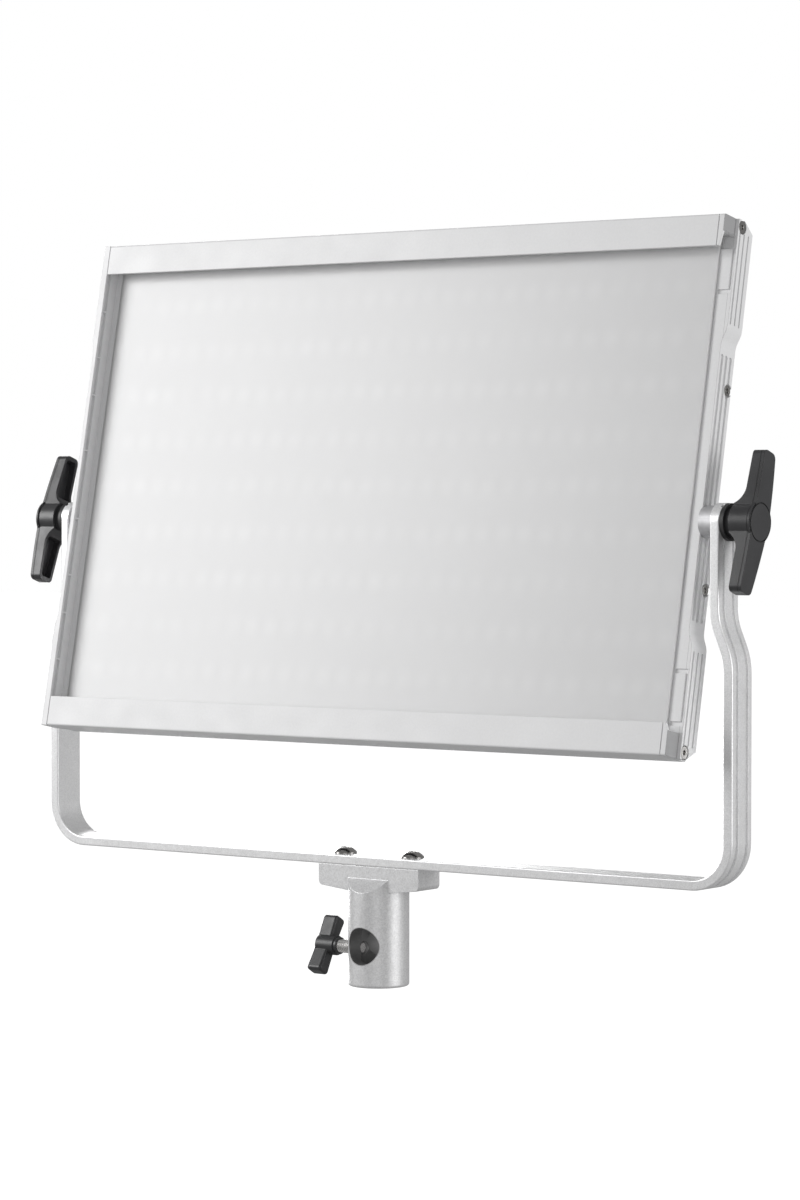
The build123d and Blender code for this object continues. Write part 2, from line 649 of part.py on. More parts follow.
with BuildPart(face) as heat_sink:
    block((-board_half_width - 0.4, board_half_width + 0.4), (sink_bottom + 0.2, sink_top - 0.2),
          (board_back, head_depth))
    # fins on the back, either side of the rear housing
    for way in (1, -1):
        for number in range(fin_count):
            middle = way * (housing_half_width + 6.0 + number * fin_pitch)
            block((middle - 0.9, middle + 0.9), (sink_bottom + 8, sink_top - 8),
                  (head_depth, head_depth + fin_height))
    for x, y in board_screw_places:
        rod(x, y, (board_back - 1, head_depth - 0.6), 1.5, Mode.SUBTRACT)
    for x, y in standoff_places:
        rod(x, y, (board_back + 1, head_depth + 1), 1.25, Mode.SUBTRACT)
    for x, y in housing_screw_places:
        rod(x, y, (board_back + 1, head_depth + 1), 1.55, Mode.SUBTRACT)
    for way in (1, -1):
        for height in waist_screw_heights:
            cross_rod(span(way, cover_inner - 9, cover_inner + 1), height, waist_screw_depth, 1.25,
                      Mode.SUBTRACT)
heat_sink.part.label = "heat_sink"
export_step(heat_sink.part, "parts/heat_sink.step")

# Electronics inside the rear housing ---------------------------------------------------------------
driver_span = ((-98.0, 98.0), (20.0, 88.0))
control_span = ((-62.0, 62.0), (-56.0, -8.0))
card_depth = (32.0, 33.6)
standoff_radius = 2.8
coil_places = [(x, 66.0) for x in (-58.0, -34.0, -10.0)]
coil_radius = 9.0
coil_height = 7.5
capacitor_places = [(x, 66.0) for x in (18.0, 32.0, 46.0, 60.0)]
capacitor_radius = 5.0
capacitor_height = 9.0
transistor_middles = (-72.0, -56.0, -40.0, -24.0, -8.0, 8.0)

with BuildPart(face) as standoffs:
    for x, y in standoff_places:
        rod(x, y, (head_depth, card_depth[0]), standoff_radius)
        rod(x, y, (board_back + 1.4, head_depth), 1.2)
        rod(x, y, (card_depth[0], card_depth[1]), 1.2)
        rod(x, y, (card_depth[1], card_depth[1] + 1.3), 2.5)
standoffs.part.label = "standoffs"
export_step(standoffs.part, "parts/standoffs.step")

for name, outline in (("driver_board", driver_span), ("control_board", control_span)):
    with BuildPart(face) as card:
        block(outline[0], outline[1], card_depth)
        for x, y in standoff_places:
            rod(x, y, (card_depth[0] - 1, card_depth[1] + 1), 1.4, Mode.SUBTRACT)
    card.part.label = name
    export_step(card.part, f"parts/{name}.step")

with BuildPart(face) as driver_coils:
    for x, y in coil_places:
        rod(x, y, (card_depth[1], card_depth[1] + coil_height), coil_radius)
        rod(x, y, (card_depth[1] + 1.5, card_depth[1] + coil_height + 1), 0.4 * coil_radius,
            Mode.SUBTRACT)
driver_coils.part.label = "driver_coils"
export_step(driver_coils.part, "parts/driver_coils.step")

with BuildPart(face) as driver_capacitors:
    for x, y in capacitor_places:
        rod(x, y, (card_depth[1], card_depth[1] + capacitor_height), capacitor_radius)
driver_capacitors.part.label = "driver_capacitors"
export_step(driver_capacitors.part, "parts/driver_capacitors.step")

with BuildPart(face) as power_transistors:
    for x in transistor_middles:
        block((x - 5, x + 5), (36.0, 46.0), (card_depth[1], card_depth[1] + 4.5))
power_transistors.part.label = "power_transistors"
export_step(power_transistors.part, "parts/power_transistors.step")

# Rear housing: a moulded box over the electronics, vented, with the controls in its lower half ------
housing_inside = housing_back - housing_wall
housing_corner = 9.0
housing_edge = 4.0
post_radius = 4.2
counterbore_radius = 3.2
counterbore_depth = 3.0
control_height = -32.0          # centre line of everything the operator uses
panel_half = (64.0, 26.0)
panel_opening_half = (56.0, 21.5)
panel_screw_places = [(x, control_height + y) for x in (-59.5, 59.5) for y in (-21.5, 21.5)]
display_centre = (34.0, -23.0)
display_half = (17.0, 9.0)
button_height = -46.5
button_places = {"menu_button": 22.0, "back_button": 34.0, "mode_button": 46.0}
knob_places = {"dimmer": -4.0, "colour": -36.0}
switch_centre = (-88.0, control_height)
switch_body_half = (7.5, 13.5)
inlet_centre = (88.0, control_height)
inlet_shell = 11.6
cut_clearance = 0.1

with BuildPart(face.offset(-head_depth)) as rear_housing:
    with Locations((0, head_middle)):
        Box(2 * housing_half_width, housing_height, housing_back - head_depth,
            align=(Align.CENTER, Align.CENTER, Align.MAX))
    fillet(rear_housing.edges().filter_by(Axis((0, 0, 0), back)), radius=housing_corner)
    fillet(rear_housing.edges().group_by(Axis((0, 0, 0), back))[-1], radius=housing_edge)
    with Locations((0, head_middle, 1)):
        Box(2 * (housing_half_width - housing_wall), housing_height - 2 * housing_wall,
            housing_inside - head_depth + 1, align=(Align.CENTER, Align.CENTER, Align.MAX),
            mode=Mode.SUBTRACT)
    # posts for the screws that hold it to the heat sink
    for x, y in housing_screw_places:
        with Locations((x, y, 0)):
            Cylinder(post_radius, housing_back - 1 - head_depth,
                     align=(Align.CENTER, Align.CENTER, Align.MAX))
            Cylinder(1.7, 4 * housing_back, mode=Mode.SUBTRACT)
        with Locations((x, y, head_depth - housing_back)):
            Cylinder(counterbore_radius, 2 * counterbore_depth, mode=Mode.SUBTRACT)
    # vents in the back and in the top and bottom walls
    with BuildSketch(face.offset(1 - housing_inside)):
        with Locations((0, 58.0)):
            with GridLocations(32, 8, 6, 6):
                SlotOverall(26, 3)
    extrude(amount=-housing_wall - 2, mode=Mode.SUBTRACT)
    with Locations((0, head_middle, -13)):
        with GridLocations(10, 0, 17, 1):
            Box(4, housing_height + 2, 12, mode=Mode.SUBTRACT)
    # openings for the control panel, the power rocker and the inlet
    with Locations((0, control_height, head_depth - housing_back)):
        Box(2 * panel_opening_half[0], 2 * panel_opening_half[1], 3 * housing_wall, mode=Mode.SUBTRACT)
        with Locations(*[(x, y - control_height, 0) for x, y in panel_screw_places]):
            Cylinder(1.25, 3 * housing_wall, mode=Mode.SUBTRACT)
    with Locations((*switch_centre, head_depth - housing_back)):
        Box(2 * (switch_body_half[0] + cut_clearance), 2 * (switch_body_half[1] + cut_clearance),
            3 * housing_wall, mode=Mode.SUBTRACT)
    with Locations((*inlet_centre, head_depth - housing_back)):
        Cylinder(inlet_shell + cut_clearance, 3 * housing_wall, mode=Mode.SUBTRACT)
rear_housing.part.label = "rear_housing"
export_step(rear_housing.part, "parts/rear_housing.step")

with BuildPart(face) as housing_screws:
    seat = housing_back - counterbore_depth
    for x, y in housing_screw_places:
        rod(x, y, (seat, seat + 2.4), 2.8)
        rod(x, y, (board_back + 2, seat), 1.45)
        rod(x, y, (seat + 1.2, seat + 3), 1.2, Mode.SUBTRACT)
housing_screws.part.label = "housing_screws"
export_step(housing_screws.part, "parts/housing_screws.step")

# Control panel with its screws, display window and display
with BuildPart(face) as control_panel:
    with BuildSketch(face.offset(-housing_back)):
        with Locations((0, control_height)):
            RectangleRounded(2 * panel_half[0], 2 * panel_half[1], 4)
        with Locations(display_centre):
            Rectangle(2 * display_half[0], 2 * display_half[1], mode=Mode.SUBTRACT)
        with Locations(*[(x, button_height) for x in button_places.values()]):
            Circle(3.8, mode=Mode.SUBTRACT)
        with Locations(*[(x, control_height) for x in knob_places.values()]):
            Circle(3.9, mode=Mode.SUBTRACT)
        with Locations(*panel_screw_places):
            Circle(1.4, mode=Mode.SUBTRACT)
    extrude(amount=housing_back - panel_back)
control_panel.part.label = "control_panel"
export_step(control_panel.part, "parts/control_panel.step")

with BuildPart(face) as panel_screws:
    for x, y in panel_screw_places:
        rod(x, y, (panel_back, panel_back + 1.3), 2.3)
        rod(x, y, (housing_inside - 1.5, panel_back), 1.2)
        rod(x, y, (panel_back + 0.7, panel_back + 2), 0.9, Mode.SUBTRACT)
panel_screws.part.label = "panel_screws"
export_step(panel_screws.part, "parts/panel_screws.step")

with BuildPart(face) as display_window:
    with Locations((*display_centre, -(housing_back + panel_back) / 2)):
        Box(2 * (display_half[0] - cut_clearance), 2 * (display_half[1] - cut_clearance), 1.6)
display_window.part.label = "display_window"
export_step(display_window.part, "parts/display_window.step")

with BuildPart(face.offset(-card_depth[1])) as display_module:
    with Locations(display_centre):
        Box(38, 22, 9.4, align=(Align.CENTER, Align.CENTER, Align.MAX))
display_module.part.label = "display_module"
export_step(display_module.part, "parts/display_module.step")

# Rotary encoders with push-on knobs
encoder_half = 6.5
encoder_back = 41.6
bushing_radius = 3.7
shaft_radius = 3.0
shaft_start = card_depth[1] + 1.6
knob_radius = 9.0
knob_front = panel_back + 0.6
knob_back = 61.0
knob_bore_end = knob_back - 3.0
knob_flute_radius = 0.8
pointer_half_width = 0.6

with BuildPart(face) as encoders:
    for x in knob_places.values():
        block((x - encoder_half, x + encoder_half),
              (control_height - encoder_half, control_height + encoder_half), (card_depth[1], encoder_back))
        rod(x, control_height, (encoder_back, panel_back - 0.5), bushing_radius)
        rod(x, control_height, (shaft_start - 0.2, panel_back), shaft_radius + 0.05, Mode.SUBTRACT)
encoders.part.label = "encoders"
export_step(encoders.part, "parts/encoders.step")

for name, x in knob_places.items():
    with BuildPart(face) as shaft:
        rod(x, control_height, (shaft_start, knob_bore_end), shaft_radius)
    shaft.part.label = name + "_shaft"
    export_step(shaft.part, f"parts/{name}_shaft.step")
    with BuildPart(face) as knob:
        rod(x, control_height, (knob_front, knob_back), knob_radius)
        chamfer(knob.edges().group_by(Axis((0, 0, 0), back))[-1], length=1.0)
        with Locations((x, control_height, -(knob_front + knob_back) / 2 - 1)):
            with PolarLocations(knob_radius + 0.25, 24):
                Cylinder(knob_flute_radius, knob_back - knob_front - 2, mode=Mode.SUBTRACT)
        rod(x, control_height, (knob_front - 1, knob_bore_end), shaft_radius, Mode.SUBTRACT)
        block((x - pointer_half_width, x + pointer_half_width),
              (control_height + 3, control_height + knob_radius - 1.5),
              (knob_back - pointer_half_width, knob_back + 1), Mode.SUBTRACT)
    knob.part.label = name + "_knob"
    export_step(knob.part, f"parts/{name}_knob.step")

# Push buttons over tactile switches
switch_back = card_depth[1] + 3.5
button_gap = 0.8                # between a button's stem and its switch
collar_front = housing_back - 1.6
collar_back = collar_front + 1.2
cap_back = panel_back + 1.6

with BuildPart(face) as tactile_switches:
    for x in button_places.values():
        block((x - 3, x + 3), (button_height - 3, button_height + 3), (card_depth[1], switch_back))
tactile_switches.part.label = "tactile_switches"
export_step(tactile_switches.part, "parts/tactile_switches.step")

for name, x in button_places.items():
    with BuildPart(face) as button:
        rod(x, button_height, (collar_front, cap_back), 3.45)
        fillet(button.edges().group_by(Axis((0, 0, 0), back))[-1], radius=0.6)
        rod(x, button_height, (collar_front, collar_back), 4.5)
        rod(x, button_height, (switch_back + button_gap, collar_front), 1.6)
    button.part.label = name
    export_step(button.part, f"parts/{name}.step")

# Power rocker in its snap-in bezel
rocker_pivot_depth = 44.0
rocker_half_width = 5.5
rocker_reach = 11.0
pivot_pin_radius = 1.0
bezel_half = (9.5, 16.0)

with BuildPart(face) as switch_bezel:
    x, y = switch_centre
    block((x - bezel_half[0], x + bezel_half[0]), (y - bezel_half[1], y + bezel_half[1]),
          (housing_back, panel_back))
    block((x - switch_body_half[0], x + switch_body_half[0]),
          (y - switch_body_half[1], y + switch_body_half[1]), (card_depth[1], housing_back))
    block((x - rocker_half_width - 0.4, x + rocker_half_width + 0.4),
          (y - rocker_reach - 1.7, y + rocker_reach + 1.7), (card_depth[1] + 2, panel_back + 1),
          Mode.SUBTRACT)
    cross_rod((x - 7.0, x + 7.0), y, rocker_pivot_depth, pivot_pin_radius + 0.05, Mode.SUBTRACT)
switch_bezel.part.label = "switch_bezel"
export_step(switch_bezel.part, "parts/switch_bezel.step")

with BuildPart(face) as power_rocker:
    x, y = switch_centre
    with BuildSketch(side.offset(x - rocker_half_width)) as rocker_profile:
        with BuildLine():
            Polyline((rocker_pivot_depth - 3, y - 6), (rocker_pivot_depth + 1, y - rocker_reach),
                     (rocker_pivot_depth + 6.5, y - rocker_reach), (rocker_pivot_depth + 3.9, y),
                     (rocker_pivot_depth + 2.4, y + rocker_reach),
                     (rocker_pivot_depth - 1, y + rocker_reach), (rocker_pivot_depth - 3, y + 6),
                     close=True)
        make_face()
        fillet(rocker_profile.vertices(), radius=0.6)
    extrude(amount=2 * rocker_half_width)
    cross_rod((x - 6.9, x + 6.9), y, rocker_pivot_depth, pivot_pin_radius)
power_rocker.part.label = "power_rocker"
export_step(power_rocker.part, "parts/power_rocker.step")

# Four-pin low-voltage inlet
inlet_bore = 9.6
inlet_floor = 34.0
key_half_width = 1.5
inlet_pin_radius = 1.15
inlet_pin_places = [(inlet_centre[0] + x, inlet_centre[1] + y) for x in (-3.6, 3.6) for y in (-3.6, 3.6)]

with BuildPart(face) as dc_inlet:
    x, y = inlet_centre
    with BuildSketch(face.offset(-housing_back)):
        with Locations(inlet_centre):
            RectangleRounded(26, 31, 2.5)
    extrude(amount=housing_back - panel_back)
    rod(x, y, (inlet_floor - 6, housing_back), inlet_shell)
    rod(x, y, (inlet_floor, panel_back + 1), inlet_bore, Mode.SUBTRACT)
    block((x - key_half_width, x + key_half_width), (y + inlet_bore - 1, y + inlet_bore + 1),
          (inlet_floor + 2, panel_back + 1), Mode.SUBTRACT)
    for pin_x, pin_y in inlet_pin_places:
        rod(pin_x, pin_y, (inlet_floor - 7, inlet_floor + 1), inlet_pin_radius, Mode.SUBTRACT)
dc_inlet.part.label = "dc_inlet"
export_step(dc_inlet.part, "parts/dc_inlet.step")

with BuildPart(face) as inlet_pins:
    for pin_x, pin_y in inlet_pin_places:
        rod(pin_x, pin_y, (inlet_floor - 8, inlet_floor + 10), inlet_pin_radius)
inlet_pins.part.label = "inlet_pins"
export_step(inlet_pins.part, "parts/inlet_pins.step")
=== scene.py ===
"""Looks for an LED panel light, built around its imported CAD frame. Metres, in the frame's own axes."""
import json
import math

import bmesh
import bpy
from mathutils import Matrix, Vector


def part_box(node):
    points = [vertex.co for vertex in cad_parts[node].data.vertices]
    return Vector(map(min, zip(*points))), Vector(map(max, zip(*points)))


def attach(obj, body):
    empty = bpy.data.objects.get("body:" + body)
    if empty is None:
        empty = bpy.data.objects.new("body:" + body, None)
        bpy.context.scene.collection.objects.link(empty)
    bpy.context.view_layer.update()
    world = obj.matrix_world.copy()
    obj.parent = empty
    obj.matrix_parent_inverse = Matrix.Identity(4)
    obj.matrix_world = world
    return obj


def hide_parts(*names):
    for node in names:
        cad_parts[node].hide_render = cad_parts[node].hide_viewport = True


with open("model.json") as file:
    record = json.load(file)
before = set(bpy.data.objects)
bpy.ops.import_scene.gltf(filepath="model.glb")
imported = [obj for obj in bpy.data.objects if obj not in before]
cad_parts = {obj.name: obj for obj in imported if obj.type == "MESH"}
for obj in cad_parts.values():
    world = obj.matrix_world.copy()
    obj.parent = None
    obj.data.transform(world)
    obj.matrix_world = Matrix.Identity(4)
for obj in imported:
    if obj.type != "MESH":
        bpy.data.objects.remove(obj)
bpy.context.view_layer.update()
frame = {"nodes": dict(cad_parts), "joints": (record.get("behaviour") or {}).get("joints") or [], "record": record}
nodes = frame["nodes"]
joints = {joint["name"]: joint for joint in frame["joints"]}
mounts = {mount["name"]: mount for mount in frame["record"]["mounts"]}

MILLIMETRE = 0.001

# Directions of the tilted head, from the axis of its rear knobs
FORWARD = Vector(joints["dimmer_turn"]["axis"]).normalized()
BACKWARD = -FORWARD
ACROSS = Vector((1, 0, 0))
UP = FORWARD.cross(ACROSS)
TILT = math.atan2(UP.y, UP.z)


def reach(node, direction):
    """How far a CAD node goes in a direction, measured from the frame's origin."""
    return max(vertex.co.dot(direction) for vertex in nodes[node].data.vertices)


def middle(node):
    low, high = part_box(node)
    return (low + high) / 2


# Materials ------------------------------------------------------------------------------------------
EDGE = 0.35 * MILLIMETRE        # how far a corner is softened in the shading of most pieces
CAP_END = 169.0 * MILLIMETRE    # where the right cover's caps end
CAP_DEPTH = 9.05 * MILLIMETRE   # and how far back they show, in front of the rail


class Surface:
    """A principled material that is put together from a few procedural layers."""

    def __init__(self, name, colour, roughness, metallic=0.0, specular=0.5, edge=EDGE):
        self.name = name
        self.material = bpy.data.materials.new(name)
        self.material.use_nodes = True
        self.tree = self.material.node_tree
        self.shader = self.tree.nodes["Principled BSDF"]
        self.colour = (*colour, 1.0)
        self.roughness = roughness
        self.shader.inputs["Base Color"].default_value = self.colour
        self.shader.inputs["Roughness"].default_value = roughness
        self.shader.inputs["Metallic"].default_value = metallic
        self.shader.inputs["Specular IOR Level"].default_value = specular
        self.material.diffuse_color = self.colour
        self.place = self.node("ShaderNodeTexCoord").outputs["Object"]
        self.height = None
        if edge:
            # a worn, slightly rounded edge instead of a knife-sharp one
            rounding = self.node("ShaderNodeBevel", samples=6)
            rounding.inputs["Radius"].default_value = edge
            self.height = rounding.outputs["Normal"]
            self.link(self.height, self.shader.inputs["Normal"])

    def node(self, kind, **settings):
        """A new node with some of its properties set."""
        made = self.tree.nodes.new(kind)
        for key, value in settings.items():
            setattr(made, key, value)
        return made

    def link(self, start, end):
        self.tree.links.new(start, end)

    def mapped(self, scale=(1, 1, 1), rotation=(0, 0, 0)):
        """The object's coordinates, turned and stretched."""
        mapping = self.node("ShaderNodeMapping", vector_type="TEXTURE")
        mapping.inputs["Scale"].default_value = scale
        mapping.inputs["Rotation"].default_value = rotation
        self.link(self.place, mapping.inputs["Vector"])
        return mapping.outputs["Vector"]

    def noise(self, size, detail=2.0, place=None):
        """Noise whose blotches are about size metres across."""
        noise = self.node("ShaderNodeTexNoise")
        noise.inputs["Scale"].default_value = 1 / size
        noise.inputs["Detail"].default_value = detail
        self.link(place or self.place, noise.inputs["Vector"])
        return noise.outputs["Fac"]

    def remap(self, value, low, high, start=0.3, end=0.7):
        """value, from start to end, turned into low to high."""
        spread = self.node("ShaderNodeMapRange", clamp=True)
        spread.inputs["From Min"].default_value = start
        spread.inputs["From Max"].default_value = end
        spread.inputs["To Min"].default_value = low
        spread.inputs["To Max"].default_value = high
        self.link(value, spread.inputs["Value"])
        return spread.outputs["Result"]

    def maths(self, operation, first, second=None):
        """One maths node, on sockets or numbers."""
        made = self.node("ShaderNodeMath", operation=operation)
        for socket, value in zip(made.inputs, (first, second)):
            if value is None:
                continue
            if isinstance(value, (int, float)):
                socket.default_value = value
            else:
                self.link(value, socket)
        return made.outputs["Value"]

    def axes(self):
        """The object's coordinates, one socket for each axis."""
        where = self.node("ShaderNodeSeparateXYZ")
        self.link(self.place, where.inputs["Vector"])
        return where.outputs["X"], where.outputs["Y"], where.outputs["Z"]

    def along(self, y, z, direction):
        """How far a place lies along a direction that has no X in it."""
        return self.maths("ADD", self.maths("MULTIPLY", y, direction.y),
                          self.maths("MULTIPLY", z, direction.z))

    def squares(self, first, second):
        """The sum of two squares."""
        return self.maths("ADD", self.maths("MULTIPLY", first, first),
                          self.maths("MULTIPLY", second, second))

    def over_colour(self, mix):
        """Puts a mix node after whatever has made the base colour so far."""
        current = self.shader.inputs["Base Color"]
        if current.is_linked:
            self.link(current.links[0].from_socket, mix.inputs["A"])
        else:
            mix.inputs["A"].default_value = self.colour
        self.link(mix.outputs["Result"], current)
        return self

    def shade(self, factor):
        """Multiplies the base colour by a factor."""
        mix = self.node("ShaderNodeMix", data_type="RGBA", blend_type="MULTIPLY")
        mix.inputs["Factor"].default_value = 1.0
        self.link(factor, mix.inputs["B"])
        return self.over_colour(mix)

    def tint(self, colour, factor):
        """Mixes another colour in by a factor."""
        mix = self.node("ShaderNodeMix", data_type="RGBA")
        mix.inputs["B"].default_value = (*colour, 1.0)
        self.link(factor, mix.inputs["Factor"])
        return self.over_colour(mix)

    def rough(self, source, spread):
        """Varies the roughness by plus or minus spread."""
        value = self.remap(source, self.roughness - spread, self.roughness + spread)
        self.link(value, self.shader.inputs["Roughness"])
        return self

    def relief(self, source, depth, strength=1.0):
        """Adds a bump of that depth in metres over the bumps before it."""
        bump = self.node("ShaderNodeBump")
        bump.inputs["Distance"].default_value = depth
        bump.inputs["Strength"].default_value = strength
        self.link(source, bump.inputs["Height"])
        if self.height:
            self.link(self.height, bump.inputs["Normal"])
        self.height = bump.outputs["Normal"]
        self.link(self.height, self.shader.inputs["Normal"])
        return self


def flake_coat(name, colour, roughness, flake, contrast, metallic):
    """Silver paint: small metallic flakes under an uneven, slightly pebbled skin."""
    coat = Surface(name, colour, roughness, metallic)
    cells = coat.node("ShaderNodeTexVoronoi")
    cells.inputs["Scale"].default_value = 1 / flake
    coat.link(coat.place, cells.inputs["Vector"])
    sparkle = coat.node("ShaderNodeSeparateColor")
    coat.link(cells.outputs["Color"], sparkle.inputs["Color"])
    coat.shade(coat.remap(sparkle.outputs["Red"], 1 - contrast, 1 + contrast / 2, 0.0, 1.0))
    coat.shade(coat.remap(coat.noise(2 * flake, 3.0), 1 - 0.6 * contrast, 1.0))
    coat.shade(coat.remap(coat.noise(30 * MILLIMETRE, 2.0), 0.96, 1.0))
    coat.rough(coat.noise(5 * flake, 2.0), 0.05)
    coat.relief(coat.noise(1.6 * flake, 2.0), 0.012 * MILLIMETRE)
    coat.relief(coat.noise(8 * flake, 1.0), 0.02 * MILLIMETRE, 0.6)
    return coat


def bores_painted_shade(coat, colour):
    """Painted shade: darkens the inside of the receiver's two crossed bores, where shade falls."""
    past_wall = 0.1 * MILLIMETRE
    past_floor = 0.2 * MILLIMETRE
    shade_blend = 0.3 * MILLIMETRE
    socket = mounts["stand_socket"]["dims"]
    bore = socket["r_mm"] * MILLIMETRE + past_wall
    x, y, z = coat.axes()
    level = coat.maths("SUBTRACT", z, mounts["cross_socket"]["pos_m"][2])
    in_depth = coat.maths("LESS_THAN", z, socket["length_mm"] * MILLIMETRE + past_floor)
    for other in (y, level):
        inside = coat.remap(coat.squares(x, other), 1.0, 0.0, bore ** 2, (bore + shade_blend) ** 2)
        # painted shade inside each bore
        coat.tint(colour, coat.maths("MULTIPLY", inside, in_depth))
    return coat


def cap_ends_painted_shade(paint, colour):
    """Painted shade: the flat ends of the right cover's caps are made darker and greyer than the rail beside them,
    standing in for the shade that falls on them.
    """
    near = 0.04 * MILLIMETRE
    clear = 0.08 * MILLIMETRE
    x, y, z = paint.axes()
    distance = paint.maths("ABSOLUTE", paint.maths("SUBTRACT", x, CAP_END))
    on_cap = paint.remap(distance, 1.0, 0.0, near, clear)
    depth = paint.along(y, z, BACKWARD)
    before_rail = paint.maths("LESS_THAN", depth, CAP_DEPTH - reach("top_bar", FORWARD))
    # painted shade on the cap ends, in front of the rail
    paint.tint(colour, paint.maths("MULTIPLY", on_cap, before_rail))
    return paint


def lever_seam(plastic):
    """A fine groove under the flange that runs round each tilt lever's arched outer face."""
    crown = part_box("right_handle")[1].x
    drop = 1.4 * MILLIMETRE             # how much lower the arch is at a wing's tip
    half_length = 30.5 * MILLIMETRE
    flange = 1.5 * MILLIMETRE
    seam_half_width = 0.12 * MILLIMETRE
    seam_shoulder = 0.3 * MILLIMETRE
    seam_depth = 0.25 * MILLIMETRE
    seam_shadow = 0.35
    x, y, z = plastic.axes()
    rise = plastic.maths("SUBTRACT", z, joints["head_tilt"]["pos_m"][2])
    arch = plastic.maths("MULTIPLY", plastic.squares(y, rise), drop / half_length ** 2)
    outwards = plastic.maths("ADD", plastic.maths("ABSOLUTE", x), arch)
    distance = plastic.maths("ABSOLUTE", plastic.maths("SUBTRACT", outwards, crown - flange))
    seam = plastic.remap(distance, 0.0, 1.0, seam_half_width, seam_shoulder)
    plastic.relief(seam, seam_depth)
    plastic.shade(plastic.remap(seam, seam_shadow, 1.0, 0.0, 1.0))
    return plastic


def satin_paint(name, colour, roughness):
    """Smooth satin powder coat with a faint orange peel and a little dust in its tone."""
    paint = Surface(name, colour, roughness, 0.0, 0.45)
    paint.shade(paint.remap(paint.noise(0.9 * MILLIMETRE, 3.0), 0.975, 1.01))
    paint.shade(paint.remap(paint.noise(60 * MILLIMETRE, 2.0), 0.98, 1.0))
    paint.rough(paint.noise(14 * MILLIMETRE, 3.0), 0.05)
    paint.relief(paint.noise(1.3 * MILLIMETRE, 2.0), 0.012 * MILLIMETRE)
    return paint


def moulded_plastic(name, colour, roughness, grain=0.35 * MILLIMETRE, depth=0.03 * MILLIMETRE):
    """Spark-eroded mould texture, with rubbed patches where hands go."""
    plastic = Surface(name, colour, roughness, 0.0, 0.5)
    plastic.relief(plastic.noise(grain, 3.0), depth)
    plastic.rough(plastic.noise(9 * MILLIMETRE, 4.0), 0.07)
    plastic.shade(plastic.remap(plastic.noise(grain, 2.0), 0.82, 1.12))
    plastic.shade(plastic.remap(plastic.noise(22 * MILLIMETRE, 3.0), 0.9, 1.05))
    return plastic


def gloss_plastic(name, colour, roughness=0.18):
    """Polished moulding with a faint haze and fine scuffs."""
    plastic = Surface(name, colour, roughness, 0.0, 0.5)
    plastic.rough(plastic.noise(3 * MILLIMETRE, 5.0), 0.07)
    plastic.shade(plastic.remap(plastic.noise(1.5 * MILLIMETRE, 3.0), 0.94, 1.03))
    plastic.relief(plastic.noise(0.7 * MILLIMETRE, 2.0), 0.004 * MILLIMETRE)
    return plastic


def turned_metal(name, colour, roughness, stretch=(1, 1, 1)):
    """Bare or plated metal with fine machining marks."""
    metal = Surface(name, colour, roughness, 1.0)
    marks = metal.noise(0.25 * MILLIMETRE, 3.0, metal.mapped(stretch))
    metal.relief(marks, 0.012 * MILLIMETRE)
    metal.rough(marks, 0.08)
    metal.shade(metal.remap(metal.noise(4 * MILLIMETRE, 3.0), 0.86, 1.04))
    return metal


def extruded_aluminium(name, colour, roughness):
    """Clear-anodised extrusion: die lines run up the head."""
    metal = Surface(name, colour, roughness, 0.85)
    lines = metal.noise(0.5 * MILLIMETRE, 4.0, metal.mapped((1, 1, 80), (-TILT, 0, 0)))
    metal.relief(lines, 0.02 * MILLIMETRE)
    metal.rough(lines, 0.07)
    metal.shade(metal.remap(lines, 0.88, 1.04))
    metal.shade(metal.remap(metal.noise(45 * MILLIMETRE, 2.0), 0.93, 1.03))
    return metal


def circuit_board(name, colour, track):
    """Solder mask whose copper tracks stand out as the joints of a brick pattern."""
    cell = 9 * MILLIMETRE
    board = Surface(name, colour, 0.32, 0.0, 0.5)
    tracks = board.node("ShaderNodeTexBrick", offset=0.5)
    tracks.inputs["Color1"].default_value = (0, 0, 0, 1)
    tracks.inputs["Color2"].default_value = (0.6, 0.6, 0.6, 1)
    tracks.inputs["Mortar"].default_value = (1, 1, 1, 1)
    tracks.inputs["Scale"].default_value = 1 / cell
    tracks.inputs["Mortar Size"].default_value = 0.05
    board.link(board.mapped(rotation=(math.radians(90) - TILT, 0, 0)), tracks.inputs["Vector"])
    value = board.node("ShaderNodeRGBToBW")
    board.link(tracks.outputs["Color"], value.inputs["Color"])
    board.tint(track, board.remap(value.outputs["Val"], 0.0, 1.0, 0.0, 1.0))
    board.relief(value.outputs["Val"], 0.03 * MILLIMETRE)
    board.rough(board.noise(2 * MILLIMETRE), 0.05)
    return board


def emitter(name, colour):
    """Phosphor gel, a little uneven."""
    gel = Surface(name, colour, 0.4, 0.0, 0.5)
    gel.shade(gel.remap(gel.noise(0.6 * MILLIMETRE, 2.0), 0.85, 1.05))
    gel.relief(gel.noise(0.9 * MILLIMETRE, 1.0), 0.05 * MILLIMETRE)
    return gel


# The emitters' grid, from the nodes of the two colours that alternate along each row
LED_ROWS = 9
LED_COLUMNS = 30
LED_SIZE = 3.0 * MILLIMETRE
GLOW_WIDTH = 4.4 * MILLIMETRE
LED_RIGHT, LED_LEFT = reach("tungsten_leds", ACROSS), -reach("daylight_leds", -ACROSS)
LED_TOP, LED_BOTTOM = reach("daylight_leds", UP), -reach("daylight_leds", -UP)
LED_COLUMN_PITCH = (LED_RIGHT - LED_LEFT - LED_SIZE) / (LED_COLUMNS - 1)
LED_ROW_PITCH = (LED_TOP - LED_BOTTOM - LED_SIZE) / (LED_ROWS - 1)
LED_MIDDLE = (LED_TOP + LED_BOTTOM) / 2


